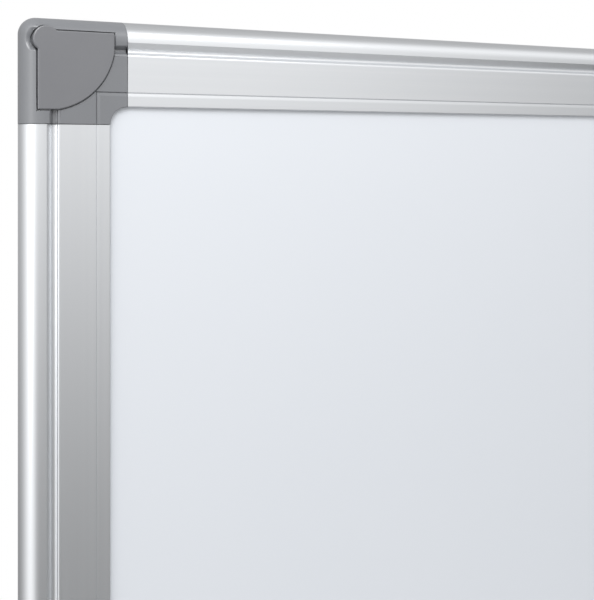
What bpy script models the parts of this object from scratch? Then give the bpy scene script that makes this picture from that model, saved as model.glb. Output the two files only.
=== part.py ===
"""Magnetic whiteboard in an aluminium frame, with swivel corner covers and a sliding pen tray.

Metres, +Z up. The origin is the middle of the plane that lies against the wall.
The board faces -Y and is wider than it is high, along X.
Every profile is drawn in board measures: u and v run inwards from the outer edges,
and n runs from the frame's flat front band back towards the wall.
"""

import math

import bmesh
import bpy

# Overall size
BOARD_WIDTH = 0.900
BOARD_HEIGHT = 0.600

# Clearances
SEAT_GAP = 0.0003
SCREW_GAP = 0.00015
PIVOT_GAP = 0.0002
PANEL_GAP = 0.0005
OVERRUN = 0.002

# Frame profile, shared by rails and corner mouldings
RAIL_WIDTH = 0.036
NOSE_RADIUS = 0.00925
CREST_RISE = 0.00045
RAIL_STEP = 0.0002
WALL = 0.0014
GROOVE_SLOPE_WIDTH = 0.0020
CREST_SLOPE_WIDTH = 0.00065
GROOVE_WIDTH = 0.0018
GROOVE_DEPTH = 0.0031
GROOVE_EDGE = 0.0003
LINE_INSET = 0.006
LINE_WIDTH = 0.0005
LINE_DEPTH = 0.0004
LIP_ROUND = 0.0004
LIP_BACK = 0.0015
BACK_LIP_WIDTH = 0.011
BACK_FLAT_WIDTH = 0.0072
CHAMBER_SLANT = 0.0024
NOSE_STEPS = 14

# Panel layers
SHEET_THICKNESS = 0.0005
CORE_THICKNESS = 0.0085
BACKING_THICKNESS = 0.0004
PANEL_CORNER_CUT = 0.020

# Corner mouldings
CORNER_REACH = 0.0435
CORNER_RADIUS = 0.007
CREST_CORNER_RADIUS = 0.0003
CORNER_STEPS = 6
WINDOW_RADIUS = 0.007
WINDOW_STEPS = 8
PLUG_LENGTH = 0.022
PLUG_ROOT = 0.0015
CORE_OUT_LENGTH = 0.018
CORE_OUT_WIDTH = 0.0036
CORE_OUT_FRONT = 0.0065
WELL_AT = 0.0205
WELL_HOLE_RADIUS = 0.0025
WELL_HEAD_RADIUS = 0.00475

# Swivel covers
COVER_RADIUS = 0.0287
COVER_END_CUT = 0.0004
COVER_SIDE = 0.0035
COVER_THICKNESS = 0.0009
COVER_BACK = 0.0002
COVER_EDGE = 0.00025
COVER_ARC_GAP = 0.00035
COVER_SIDE_GAP = 0.0008
SEAT_END_CUT = 0.0002
CHANNEL_DEPTH = 0.0016
CHANNEL_UNDER = 0.0004
COVER_STEPS = 22
KNUCKLE_RADIUS = 0.0053
KNUCKLE_GAP = 0.0005
KNUCKLE_BACK = 0.0037
KNUCKLE_STEPS = 18
POST_RADIUS = 0.0024
POST_BACK = 0.012
POST_HOLE_DEPTH = 0.0075
COVER_SCREW_RADIUS = 0.0011
COVER_SCREW_LENGTH = 0.007
COVER_SCREW_HEAD_RADIUS = 0.0028
COVER_SCREW_HEAD_HEIGHT = 0.0018
WASHER_RADIUS = 0.0038
WASHER_THICKNESS = 0.0006
WASHER_CLEARANCE = 0.0004

# Rail screws
RAIL_SCREW_ALONG = 0.011
RAIL_SCREW_FROM_CREST = 0.0025
RAIL_SCREW_RADIUS = 0.0014
RAIL_SCREW_HEAD_RADIUS = 0.0027
RAIL_SCREW_LENGTH = 0.009
RAIL_SCREW_SINK = 0.0001
DRIVE_RADIUS = 0.0011
DRIVE_DEPTH = 0.0009

# Pen tray
TRAY_LENGTH = 0.300
TRAY_REACH = 0.048
TRAY_WALL = 0.0014
TRAY_FLOOR = 0.0016
TRAY_LIP_HEIGHT = 0.009
TRAY_HEEL_RISE = 0.001
TRAY_BEND_RADIUS = 0.005
TRAY_BEND_STEPS = 6
TRAY_WRAP_DEGREES = 140.0
TRAY_WRAP_STEPS = 14
HOOK_THICKNESS = 0.0011
HOOK_SIDE_GAP = 0.0004
HOOK_TIP_GAP = 0.0005
TRAY_CAP_THICKNESS = 0.002
TRAY_CAP_RISE = 0.001

# Round pieces
ROUND_STEPS = 24
SCREW_STEPS = 12
SMOOTH_ANGLE = 40.0

# Places that follow from the sizes above
NOSE_CENTRE = NOSE_RADIUS - CREST_RISE
BACK_PLANE = NOSE_CENTRE + NOSE_RADIUS
RAIL_NOSE_RADIUS = NOSE_RADIUS - RAIL_STEP
RAIL_BACK_PLANE = NOSE_CENTRE + RAIL_NOSE_RADIUS
GROOVE_TOP = NOSE_RADIUS + CREST_SLOPE_WIDTH
GROOVE_FROM = GROOVE_TOP + GROOVE_SLOPE_WIDTH
GROOVE_TO = GROOVE_FROM + GROOVE_WIDTH
FLAT_FROM = GROOVE_TO + GROOVE_EDGE
POCKET_FROM = GROOVE_TO + WALL
BACK_LIP_TO = POCKET_FROM + BACK_LIP_WIDTH
BACK_FLAT_TO = NOSE_RADIUS + BACK_FLAT_WIDTH
LINE_AT = RAIL_WIDTH - LINE_INSET
SHEET_FRONT = LIP_BACK + SEAT_GAP
CORE_FRONT = SHEET_FRONT + SHEET_THICKNESS + SEAT_GAP
BACKING_FRONT = CORE_FRONT + CORE_THICKNESS + SEAT_GAP
POCKET_BACK = BACKING_FRONT + BACKING_THICKNESS + SEAT_GAP
POCKET_MIDDLE = (LIP_BACK + POCKET_BACK) / 2
RAIL_START = CORNER_REACH + SEAT_GAP
PIVOT_AT = NOSE_RADIUS
SEAT_FLOOR = COVER_BACK + SEAT_GAP
KNUCKLE_FLOOR = KNUCKLE_BACK + SEAT_GAP
WASHER_FRONT = POST_BACK + SEAT_GAP
SCREW_HEAD_FRONT = WASHER_FRONT + WASHER_THICKNESS + SEAT_GAP
RAIL_SCREW_U = NOSE_RADIUS + RAIL_SCREW_FROM_CREST
RAIL_SCREW_AT = RAIL_START + RAIL_SCREW_ALONG

CORNERS = (("top_left", 1, 1), ("top_right", -1, 1), ("bottom_left", 1, -1), ("bottom_right", -1, -1))


def clear_scene():
    """Removes whatever the file opened with."""
    for old in list(bpy.data.objects):
        bpy.data.objects.remove(old)


def finish(name, colour, roughness, metallic):
    """A plain material of one colour, given as linear red, green and blue."""
    material = bpy.data.materials.new(name)
    material.use_nodes = True
    shader = material.node_tree.nodes["Principled BSDF"]
    shader.inputs["Base Color"].default_value = (*colour, 1.0)
    shader.inputs["Roughness"].default_value = roughness
    shader.inputs["Metallic"].default_value = metallic
    material.diffuse_color = (*colour, 1.0)
    return material


def arc(centre, radius, start, end, steps):
    """Points on a circle from one angle to another in degrees, both ends included."""
    turns = [math.radians(start + (end - start) * i / steps) for i in range(steps + 1)]
    return [(centre[0] + radius * math.cos(t), centre[1] + radius * math.sin(t)) for t in turns]


def spot(u, v, n):
    """A place in board measures from the top left corner, as world x, y, z."""
    return (u - BOARD_WIDTH / 2, n - BACK_PLANE, BOARD_HEIGHT / 2 - v)


def solid(points, faces):
    """A mesh whose faces all point outwards."""
    mesh = bpy.data.meshes.new("shape")
    mesh.from_pydata(points, [], faces)
    work = bmesh.new()
    work.from_mesh(mesh)
    bmesh.ops.recalc_face_normals(work, faces=work.faces)
    work.to_mesh(mesh)
    work.free()
    return mesh


def layered(layers):
    """Joins closed loops of equally many points into one capped solid."""
    count = len(layers[0])
    points = [point for layer in layers for point in layer]
    faces = [list(range(count)), [count * (len(layers) - 1) + i for i in range(count)]]
    for level in range(len(layers) - 1):
        low, high = level * count, (level + 1) * count
        for i in range(count):
            j = (i + 1) % count
            faces.append([low + i, low + j, high + j, high + i])
    return solid(points, faces)


def slab(outline, front, back):
    """An outline in u and v, made thick from one depth to another."""
    return layered([[spot(u, v, n) for u, v in outline] for n in (front, back)])


def bar_along_u(section, start, end):
    """A section in v and n, drawn out along the top edge."""
    return layered([[spot(u, v, n) for v, n in section] for u in (start, end)])


def bar_along_v(section, start, end):
    """A section in u and n, drawn out along the left edge."""
    return layered([[spot(u, v, n) for u, n in section] for v in (start, end)])


def turned(profile, centre=(0.0, 0.0, 0.0), steps=ROUND_STEPS):
    """Turns radius and depth pairs about a line along Y through the centre."""
    layers = []
    last_turn = 360.0 * (steps - 1) / steps
    for radius, depth in profile:
        ring = arc((centre[0], centre[2]), radius, 0.0, last_turn, steps - 1)
        layers.append([(x, centre[1] + depth, z) for x, z in ring])
    return layered(layers)


def turned_at(profile, u, v, steps=ROUND_STEPS):
    """The same about a line through a place on the board, with depth as n."""
    return turned(profile, spot(u, v, 0.0), steps)


def carved(base, joined=(), cut=()):
    """The base mesh with some meshes joined to it and then others cut from it."""
    target = bpy.data.objects.new("base", base)
    bpy.context.collection.objects.link(target)
    helpers = []
    for operation, meshes in (("UNION", joined), ("DIFFERENCE", cut)):
        for mesh in meshes:
            helper = bpy.data.objects.new("helper", mesh)
            bpy.context.collection.objects.link(helper)
            modifier = target.modifiers.new(operation.lower(), "BOOLEAN")
            modifier.operation = operation
            modifier.solver = "EXACT"
            modifier.object = helper
            helpers.append(helper)
    bpy.context.view_layer.update()
    graph = bpy.context.evaluated_depsgraph_get()
    result = bpy.data.meshes.new_from_object(target.evaluated_get(graph))
    for helper in [*helpers, target]:
        bpy.data.objects.remove(helper)
    return result


def piece(name, mesh, material, place=(0.0, 0.0, 0.0), mirror=(1, 1), carrier=None):
    """One named sub-part. Mirror holds the signs of x and z for the board's other corners."""
    made = bpy.data.objects.new(name, mesh)
    bpy.context.collection.objects.link(made)
    if not mesh.materials:
        mesh.materials.append(material)
    mesh.shade_smooth()
    mesh.set_sharp_from_angle(angle=math.radians(SMOOTH_ANGLE))
    made.location = (place[0] * mirror[0], place[1], place[2] * mirror[1])
    made.scale = (mirror[0], 1, mirror[1])
    made.parent = carrier
    return made


def nose_arc(radius, start, end, steps):
    """Points round the nose in u and n. 0 degrees is the crest, 90 the outer edge, 180 the back."""
    turns = [math.radians(start + (end - start) * i / steps) for i in range(steps + 1)]
    return [
        (NOSE_RADIUS - radius * math.sin(t), NOSE_CENTRE - radius * math.cos(t)) for t in turns
    ]


def groove_outline(step):
    """The front from the crest's inner side to the flat band: slope, groove and rounded edge."""
    return [
        (GROOVE_TOP, step),
        (GROOVE_FROM, GROOVE_DEPTH + step),
        (GROOVE_TO, GROOVE_DEPTH + step),
        (GROOVE_TO, GROOVE_EDGE + step),
        (FLAT_FROM, step),
    ]


def line_outline(step):
    """The fine line that is scored along the flat band."""
    half = LINE_WIDTH / 2
    return [(LINE_AT - half, step), (LINE_AT, LINE_DEPTH + step), (LINE_AT + half, step)]


def rail_outline():
    """The rail's outer section: nose, groove, flat band, lip, panel pocket and back lip."""
    lip = [(RAIL_WIDTH - LIP_ROUND, RAIL_STEP), (RAIL_WIDTH, RAIL_STEP + LIP_ROUND)]
    pocket = [
        (RAIL_WIDTH, LIP_BACK),
        (POCKET_FROM, LIP_BACK),
        (POCKET_FROM, POCKET_BACK),
        (BACK_LIP_TO, POCKET_BACK),
        (BACK_LIP_TO, POCKET_BACK + WALL),
        (BACK_FLAT_TO, POCKET_BACK + WALL),
        (BACK_FLAT_TO, RAIL_BACK_PLANE),
    ]
    nose = nose_arc(RAIL_NOSE_RADIUS, 180.0, 0.0, NOSE_STEPS)
    return nose + groove_outline(RAIL_STEP) + line_outline(RAIL_STEP) + lip + pocket


def chamber_outline(inset):
    """The hollow in the rail's nose, or with an inset the plug that fills it."""
    radius = RAIL_NOSE_RADIUS - WALL - inset
    top = GROOVE_DEPTH + RAIL_STEP + WALL + inset
    slant = math.degrees(math.asin(CHAMBER_SLANT / 2 / RAIL_NOSE_RADIUS))
    right = GROOVE_TO - inset
    straight = [
        (NOSE_RADIUS + CHAMBER_SLANT / 2 - inset, top),
        (right, top),
        (right, NOSE_CENTRE + radius),
    ]
    return nose_arc(radius, 180.0, slant, NOSE_STEPS) + straight


def rail_screw_hole(u, v):
    """The countersunk hole that a rail screw passes through."""
    sunk = RAIL_SCREW_HEAD_RADIUS - RAIL_SCREW_RADIUS
    wide = RAIL_SCREW_HEAD_RADIUS + SEAT_GAP
    narrow = RAIL_SCREW_RADIUS + SEAT_GAP
    profile = [
        (narrow, RAIL_BACK_PLANE - sunk - OVERRUN),
        (narrow, RAIL_BACK_PLANE - sunk),
        (wide, RAIL_BACK_PLANE),
        (wide, RAIL_BACK_PLANE + OVERRUN),
    ]
    return turned_at(profile, u, v, SCREW_STEPS)


def rail_mesh(bar, length, screw_place):
    """One rail: the section less its chamber and its screw holes."""
    end = length - RAIL_START
    outer = bar(rail_outline(), RAIL_START, end)
    hollow = bar(chamber_outline(0.0), RAIL_START - OVERRUN, end + OVERRUN)
    alongs = (RAIL_SCREW_AT, length - RAIL_SCREW_AT)
    holes = [rail_screw_hole(*screw_place(along)) for along in alongs]
    return carved(outer, cut=[hollow, *holes])


def corner_body():
    """The moulding's rounded block, as flat outlines stacked from its crest to its back."""
    layers = []
    for d, n in nose_arc(NOSE_RADIUS, 0.0, 180.0, NOSE_STEPS):
        radius = max(CORNER_RADIUS - d, CREST_CORNER_RADIUS)
        round_corner = arc((d + radius, d + radius), radius, 270.0, 180.0, CORNER_STEPS)
        outline = [(CORNER_REACH, d), *round_corner, (d, CORNER_REACH), (CORNER_REACH, CORNER_REACH)]
        layers.append([spot(u, v, n) for u, v in outline])
    return layered(layers)


def notched_square(start, cut, end):
    """A square in u and v whose corner nearest the board's corner is cut off."""
    return [(start + cut, start), (end, start), (end, end), (start, end), (start, start + cut)]


def cover_outline(radius, side, knuckle, end_cut):
    """The cover seen from the front: a quarter disc, two straight sides and a round knuckle."""
    centre = (PIVOT_AT, PIVOT_AT)
    end = radius - end_cut
    turn = math.degrees(math.acos(end / radius))
    notch = math.degrees(math.asin(side / knuckle))
    disc = [
        (PIVOT_AT + end, PIVOT_AT - side),
        *arc(centre, radius, turn, 90.0 - turn, COVER_STEPS),
        (PIVOT_AT - side, PIVOT_AT + end),
    ]
    knuckle_round = arc(centre, knuckle, 90.0 + notch, 360.0 - notch, KNUCKLE_STEPS)
    return disc + knuckle_round


def seat_outline():
    """The recess that the cover lies in. Its ends are cut less, to clear the arc as it swings."""
    radius = COVER_RADIUS + COVER_ARC_GAP
    side = COVER_SIDE + COVER_SIDE_GAP
    return cover_outline(radius, side, KNUCKLE_RADIUS + KNUCKLE_GAP, SEAT_END_CUT)


def channel_section(front):
    """The narrow channel beside a straight side of the cover, which shows as a dark gap."""
    outer = PIVOT_AT - COVER_SIDE - COVER_SIDE_GAP
    inner = PIVOT_AT - COVER_SIDE + CHANNEL_UNDER
    return [(outer, front), (inner, front), (inner, CHANNEL_DEPTH), (outer, CHANNEL_DEPTH)]


def window_outline():
    """The front opening's rounded corner, past which the writing sheet shows."""
    middle = RAIL_WIDTH + WINDOW_RADIUS
    end = CORNER_REACH + OVERRUN
    round_corner = arc((middle, middle), WINDOW_RADIUS, 270.0, 180.0, WINDOW_STEPS)
    return [(end, RAIL_WIDTH), *round_corner, (RAIL_WIDTH, end), (end, end)]


def front_cutters():
    """What shapes the moulding's front: field, groove stubs, fine lines, window, channels, seat."""
    front = -CREST_RISE - OVERRUN
    end = CORNER_REACH + OVERRUN
    seat_end = COVER_RADIUS + COVER_ARC_GAP - SEAT_END_CUT
    stub = [(NOSE_RADIUS, front), (NOSE_RADIUS, -CREST_RISE), *groove_outline(0.0)]
    stub += [(FLAT_FROM + OVERRUN, 0.0), (FLAT_FROM + OVERRUN, front)]
    half = LINE_WIDTH / 2
    line = [(LINE_AT - half, -OVERRUN), (LINE_AT - half, 0.0), (LINE_AT, LINE_DEPTH)]
    line += [(LINE_AT + half, 0.0), (LINE_AT + half, -OVERRUN)]
    field = [(FLAT_FROM, FLAT_FROM), (end, FLAT_FROM), (end, end), (FLAT_FROM, end)]
    cutters = [slab(field, front, 0.0), slab(window_outline(), front, POCKET_MIDDLE)]
    for bar in (bar_along_u, bar_along_v):
        cutters.append(bar(stub, PIVOT_AT + seat_end - OVERRUN, end))
        cutters.append(bar(line, LINE_AT, end))
        cutters.append(bar(channel_section(front), PIVOT_AT, PIVOT_AT + seat_end))
    cutters.append(slab(seat_outline(), front, SEAT_FLOOR))
    return cutters


def back_cutters():
    """What shapes the moulding's inside and back: panel pocket, back lip, screw well, cores."""
    end = CORNER_REACH + OVERRUN
    back = BACK_PLANE + OVERRUN
    lip_back = POCKET_BACK + WALL
    shift = POCKET_FROM - BACK_FLAT_TO
    pocket = notched_square(POCKET_FROM, PANEL_CORNER_CUT, end)
    behind = notched_square(BACK_FLAT_TO, PANEL_CORNER_CUT + 2 * shift, end)
    lip = [(BACK_LIP_TO, BACK_LIP_TO), (end, BACK_LIP_TO), (end, end), (BACK_LIP_TO, end)]
    core_end = CORNER_REACH - WALL - PLUG_ROOT
    core_sides = (GROOVE_TO - CORE_OUT_WIDTH, GROOVE_TO)
    core = [
        (core_sides[0], CORE_OUT_FRONT),
        (core_sides[1], CORE_OUT_FRONT),
        (core_sides[1], back),
        (core_sides[0], back),
    ]
    cutters = [
        slab(pocket, LIP_BACK, POCKET_BACK),
        slab(behind, lip_back, back),
        slab(lip, POCKET_MIDDLE, back),
    ]
    for bar in (bar_along_u, bar_along_v):
        cutters.append(bar(core, core_end - CORE_OUT_LENGTH, core_end))
    return cutters


def round_cutters():
    """The moulding's turned holes: knuckle bore, pivot bearing, washer pocket and screw well."""
    front = -CREST_RISE - OVERRUN
    back = BACK_PLANE + OVERRUN
    knuckle = KNUCKLE_RADIUS + KNUCKLE_GAP
    bearing = POST_RADIUS + PIVOT_GAP
    washer = WASHER_RADIUS + WASHER_CLEARANCE
    sink = WELL_HEAD_RADIUS - WELL_HOLE_RADIUS
    pivot = [
        (knuckle, front),
        (knuckle, KNUCKLE_FLOOR),
        (bearing, KNUCKLE_FLOOR),
        (bearing, POST_BACK),
        (washer, POST_BACK),
        (washer, back),
    ]
    well = [
        (WELL_HEAD_RADIUS, front),
        (WELL_HEAD_RADIUS, SEAT_FLOOR),
        (WELL_HOLE_RADIUS, SEAT_FLOOR + sink),
        (WELL_HOLE_RADIUS, back),
    ]
    return [turned_at(pivot, PIVOT_AT, PIVOT_AT), turned_at(well, WELL_AT, WELL_AT)]


def plug_hole(u, v):
    """The pilot hole in a plug for its rail screw."""
    radius = RAIL_SCREW_RADIUS + SCREW_GAP
    tip = RAIL_BACK_PLANE - RAIL_SCREW_LENGTH - SEAT_GAP
    return turned_at([(radius, tip), (radius, BACK_PLANE + OVERRUN)], u, v, SCREW_STEPS)


def corner_mesh():
    """The whole corner moulding with its two plugs."""
    plug_span = (CORNER_REACH - PLUG_ROOT, CORNER_REACH + PLUG_LENGTH)
    plugs = [bar(chamber_outline(SEAT_GAP), *plug_span) for bar in (bar_along_u, bar_along_v)]
    holes = [plug_hole(RAIL_SCREW_AT, RAIL_SCREW_U), plug_hole(RAIL_SCREW_U, RAIL_SCREW_AT)]
    cutters = front_cutters() + back_cutters() + round_cutters() + holes
    return carved(corner_body(), joined=plugs, cut=cutters)


def cover_mesh():
    """The cover with its knuckle boss and pivot post, about its own pivot."""
    front = COVER_BACK - COVER_THICKNESS
    outline = cover_outline(COVER_RADIUS, COVER_SIDE, KNUCKLE_RADIUS, COVER_END_CUT)
    inner = (COVER_RADIUS - COVER_EDGE, COVER_SIDE - COVER_EDGE, KNUCKLE_RADIUS - COVER_EDGE)
    face = cover_outline(*inner, COVER_END_CUT)
    layers = ((face, front), (outline, front + COVER_EDGE), (outline, COVER_BACK))
    plate = layered(
        [[(u - PIVOT_AT, n, PIVOT_AT - v) for u, v in loop] for loop, n in layers]
    )
    middle = (front + COVER_EDGE + COVER_BACK) / 2
    boss = KNUCKLE_RADIUS - COVER_EDGE
    stem = turned(
        [(boss, middle), (boss, KNUCKLE_BACK), (POST_RADIUS, KNUCKLE_BACK), (POST_RADIUS, POST_BACK)]
    )
    hole_radius = COVER_SCREW_RADIUS + SCREW_GAP
    hole_span = [(hole_radius, POST_BACK - POST_HOLE_DEPTH), (hole_radius, POST_BACK + OVERRUN)]
    return carved(plate, joined=[stem], cut=[turned(hole_span, steps=SCREW_STEPS)])


def drive_hole(head_back):
    """The driving hole in a screw head, from its mouth to its floor."""
    return [(DRIVE_RADIUS, head_back), (DRIVE_RADIUS, head_back - DRIVE_DEPTH)]


def cover_screw_mesh():
    """A pan-head screw that enters the pivot post from behind."""
    head_back = SCREW_HEAD_FRONT + COVER_SCREW_HEAD_HEIGHT
    tip = SCREW_HEAD_FRONT - COVER_SCREW_LENGTH
    shank = [(COVER_SCREW_RADIUS, tip), (COVER_SCREW_RADIUS, SCREW_HEAD_FRONT)]
    rim = [(COVER_SCREW_HEAD_RADIUS, SCREW_HEAD_FRONT), (COVER_SCREW_HEAD_RADIUS, head_back)]
    return turned(shank + rim + drive_hole(head_back), steps=SCREW_STEPS)


def washer_mesh():
    """A plain washer between the pivot's screw head and the moulding."""
    back = WASHER_FRONT + WASHER_THICKNESS
    hole = COVER_SCREW_RADIUS + SEAT_GAP
    disc = turned([(WASHER_RADIUS, WASHER_FRONT), (WASHER_RADIUS, back)], steps=SCREW_STEPS)
    hole_span = [(hole, WASHER_FRONT - OVERRUN), (hole, back + OVERRUN)]
    return carved(disc, cut=[turned(hole_span, steps=SCREW_STEPS)])


def rail_screw_mesh():
    """A countersunk screw, its head just below the rail's back, its tip towards the front."""
    back = RAIL_BACK_PLANE - RAIL_SCREW_SINK
    sunk = RAIL_SCREW_HEAD_RADIUS - RAIL_SCREW_RADIUS
    tip = RAIL_BACK_PLANE - RAIL_SCREW_LENGTH
    shank = [(RAIL_SCREW_RADIUS, tip), (RAIL_SCREW_RADIUS, back - sunk)]
    rim = [(RAIL_SCREW_HEAD_RADIUS, back)]
    return turned(shank + rim + drive_hole(back), steps=SCREW_STEPS)


def panel_outline():
    """The panel seen from the front, with the corners cut off clear of the screw wells."""
    edge = POCKET_FROM + PANEL_GAP
    cut = edge + PANEL_CORNER_CUT
    far_u = BOARD_WIDTH - edge
    far_v = BOARD_HEIGHT - edge
    cut_u = BOARD_WIDTH - cut
    cut_v = BOARD_HEIGHT - cut
    return [
        (cut, edge),
        (cut_u, edge),
        (far_u, cut),
        (far_u, cut_v),
        (cut_u, far_v),
        (cut, far_v),
        (edge, cut_v),
        (edge, cut),
    ]


def tray_floor_outline():
    """The tray's underside and front lip, from below the rail forward, outer side then inner."""
    bottom = NOSE_RADIUS - RAIL_NOSE_RADIUS - SEAT_GAP - TRAY_WALL
    front = -TRAY_REACH
    bend = (front + TRAY_BEND_RADIUS, bottom + TRAY_BEND_RADIUS)
    outer = arc(bend, TRAY_BEND_RADIUS, 270.0, 180.0, TRAY_BEND_STEPS)
    inner = arc(bend, TRAY_BEND_RADIUS - TRAY_FLOOR, 180.0, 270.0, TRAY_BEND_STEPS)
    top = TRAY_LIP_HEIGHT
    lip = [(front, top), (front + TRAY_FLOOR, top)]
    return [(u, n) for n, u in outer + lip + inner]


def tray_outline():
    """The tray's section in u and n: groove hook, wrap round the nose, floor, front lip, heel."""
    inside = RAIL_NOSE_RADIUS + SEAT_GAP
    outside = inside + TRAY_WALL
    crest_in = NOSE_CENTRE - inside
    crest_out = NOSE_CENTRE - outside
    hook_far = GROOVE_TO - HOOK_SIDE_GAP
    hook_near = hook_far - HOOK_THICKNESS
    tip = GROOVE_DEPTH + RAIL_STEP - HOOK_TIP_GAP
    floor_top = NOSE_RADIUS - outside + TRAY_FLOOR
    heel_top = floor_top + TRAY_HEEL_RISE
    meeting = math.degrees(math.asin((NOSE_RADIUS - heel_top) / outside))
    hook = [(hook_far, crest_out), (hook_far, tip), (hook_near, tip), (hook_near, crest_in)]
    wrap_in = nose_arc(inside, 0.0, TRAY_WRAP_DEGREES, TRAY_WRAP_STEPS)
    wrap_out = nose_arc(outside, TRAY_WRAP_DEGREES, 90.0, TRAY_WRAP_STEPS)
    heel = [(floor_top, crest_out - SEAT_GAP)]
    rear_wall = nose_arc(outside, meeting, 0.0, TRAY_WRAP_STEPS)
    return hook + wrap_in + wrap_out + tray_floor_outline() + heel + rear_wall


def tray_cap_outline():
    """The end cap's section: it closes the trough and the wrap, and stays clear of the rail."""
    inside = RAIL_NOSE_RADIUS + SEAT_GAP
    outside = inside + TRAY_WALL
    bend_and_lip = tray_floor_outline()[: TRAY_BEND_STEPS + 2]
    top = NOSE_RADIUS + TRAY_CAP_RISE
    crown = [(top, NOSE_CENTRE - outside), (top, NOSE_CENTRE - inside)]
    wrap_in = nose_arc(inside, 0.0, TRAY_WRAP_DEGREES, TRAY_WRAP_STEPS)
    wrap_out = nose_arc(outside, TRAY_WRAP_DEGREES, 90.0, TRAY_WRAP_STEPS)
    return bend_and_lip + crown + wrap_in + wrap_out


def tray_bar(section, start, end):
    """A section in u and n at the bottom edge, drawn out along x from the tray's middle."""
    layers = []
    for x in (start, end):
        layers.append([(x, n - BACK_PLANE, u - BOARD_HEIGHT / 2) for u, n in section])
    return layered(layers)


def build_panel():
    """Writing sheet, core and backing, one behind the other."""
    lacquer = finish("white_lacquer", (0.86, 0.88, 0.89), 0.16, 0.0)
    fibre = finish("core_fibre", (0.42, 0.30, 0.18), 0.9, 0.0)
    zinc = finish("galvanised_sheet", (0.55, 0.56, 0.57), 0.45, 1.0)
    outline = panel_outline()
    layers = (
        ("writing_sheet", SHEET_FRONT, SHEET_THICKNESS, lacquer),
        ("core_board", CORE_FRONT, CORE_THICKNESS, fibre),
        ("backing_sheet", BACKING_FRONT, BACKING_THICKNESS, zinc),
    )
    for name, front, thickness, material in layers:
        piece(name, slab(outline, front, front + thickness), material)


def build_rails(anodised):
    """Four rails from one section, the opposite ones being mirror images."""
    level = rail_mesh(bar_along_u, BOARD_WIDTH, lambda along: (along, RAIL_SCREW_U))
    upright = rail_mesh(bar_along_v, BOARD_HEIGHT, lambda along: (RAIL_SCREW_U, along))
    piece("rail_top", level, anodised)
    piece("rail_bottom", level, anodised, mirror=(1, -1))
    piece("rail_left", upright, anodised)
    piece("rail_right", upright, anodised, mirror=(-1, 1))


def build_corners(grey, zinc):
    """At each corner: the moulding, its cover on the pivot, and their screws."""
    moulding = corner_mesh()
    cover = cover_mesh()
    cover_screw = cover_screw_mesh()
    washer = washer_mesh()
    rail_screw = rail_screw_mesh()
    pivot = spot(PIVOT_AT, PIVOT_AT, 0.0)
    level_screw = spot(RAIL_SCREW_AT, RAIL_SCREW_U, 0.0)
    upright_screw = spot(RAIL_SCREW_U, RAIL_SCREW_AT, 0.0)
    for corner, x_sign, z_sign in CORNERS:
        mirror = (x_sign, z_sign)
        piece(f"corner_{corner}", moulding, grey, mirror=mirror)
        axle = bpy.data.objects.new(f"pivot_{corner}", None)
        bpy.context.collection.objects.link(axle)
        axle.location = (pivot[0] * x_sign, pivot[1], pivot[2] * z_sign)
        piece(f"cover_{corner}", cover, grey, mirror=mirror, carrier=axle)
        piece(f"cover_screw_{corner}", cover_screw, zinc, mirror=mirror, carrier=axle)
        piece(f"cover_washer_{corner}", washer, zinc, mirror=mirror, carrier=axle)
        piece(f"rail_screw_level_{corner}", rail_screw, zinc, level_screw, mirror)
        piece(f"rail_screw_upright_{corner}", rail_screw, zinc, upright_screw, mirror)


def build_tray(anodised, grey):
    """The pen tray in the middle of the bottom rail, with a cap at each end."""
    half = TRAY_LENGTH / 2
    cap_start = half + SEAT_GAP
    piece("pen_tray", tray_bar(tray_outline(), -half, half), anodised)
    cap = tray_bar(tray_cap_outline(), cap_start, cap_start + TRAY_CAP_THICKNESS)
    piece("pen_tray_cap_right", cap, grey)
    piece("pen_tray_cap_left", cap, grey, mirror=(-1, 1))


def build():
    """Makes the whole board."""
    clear_scene()
    anodised = finish("anodised_aluminium", (0.68, 0.69, 0.70), 0.35, 1.0)
    grey = finish("grey_moulding", (0.26, 0.27, 0.28), 0.45, 0.0)
    zinc = finish("zinc_plated_steel", (0.60, 0.61, 0.62), 0.35, 1.0)
    build_panel()
    build_rails(anodised)
    build_corners(grey, zinc)
    build_tray(anodised, grey)


build()
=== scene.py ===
"""Looks of the magnetic whiteboard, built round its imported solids.

Metres, +Z up, the board faces -Y. Board measures are used throughout: u runs in from the left edge,
v down from the top edge, and n from the frame's flat front band back to the wall. Outlines are
given in millimetres, as on a drawing, and become metres where they become a surface.
"""

import math

import bmesh
import bpy
import numpy as np
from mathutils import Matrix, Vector


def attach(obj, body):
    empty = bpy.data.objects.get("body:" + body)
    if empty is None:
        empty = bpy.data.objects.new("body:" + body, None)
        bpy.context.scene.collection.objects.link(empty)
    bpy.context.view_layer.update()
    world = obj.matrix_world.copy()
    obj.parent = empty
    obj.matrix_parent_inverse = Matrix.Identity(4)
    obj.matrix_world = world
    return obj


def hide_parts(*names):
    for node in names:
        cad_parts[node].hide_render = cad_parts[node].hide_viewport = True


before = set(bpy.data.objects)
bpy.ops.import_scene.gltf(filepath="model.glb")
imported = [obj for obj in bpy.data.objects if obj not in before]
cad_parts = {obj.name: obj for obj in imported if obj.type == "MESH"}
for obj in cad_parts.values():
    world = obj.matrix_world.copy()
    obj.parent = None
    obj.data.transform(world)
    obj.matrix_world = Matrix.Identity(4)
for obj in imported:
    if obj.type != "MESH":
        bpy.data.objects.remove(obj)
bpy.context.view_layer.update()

# ---------------------------------------------------------------------------------------------
# Writing sheet. Half a millimetre of steel, so that magnets hold, stove lacquered in glossy white.
# The lacquer has a slight orange peel and keeps faint smears from wiping. It slides into the
# rails' pocket in front of the core board.
# ---------------------------------------------------------------------------------------------


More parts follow.
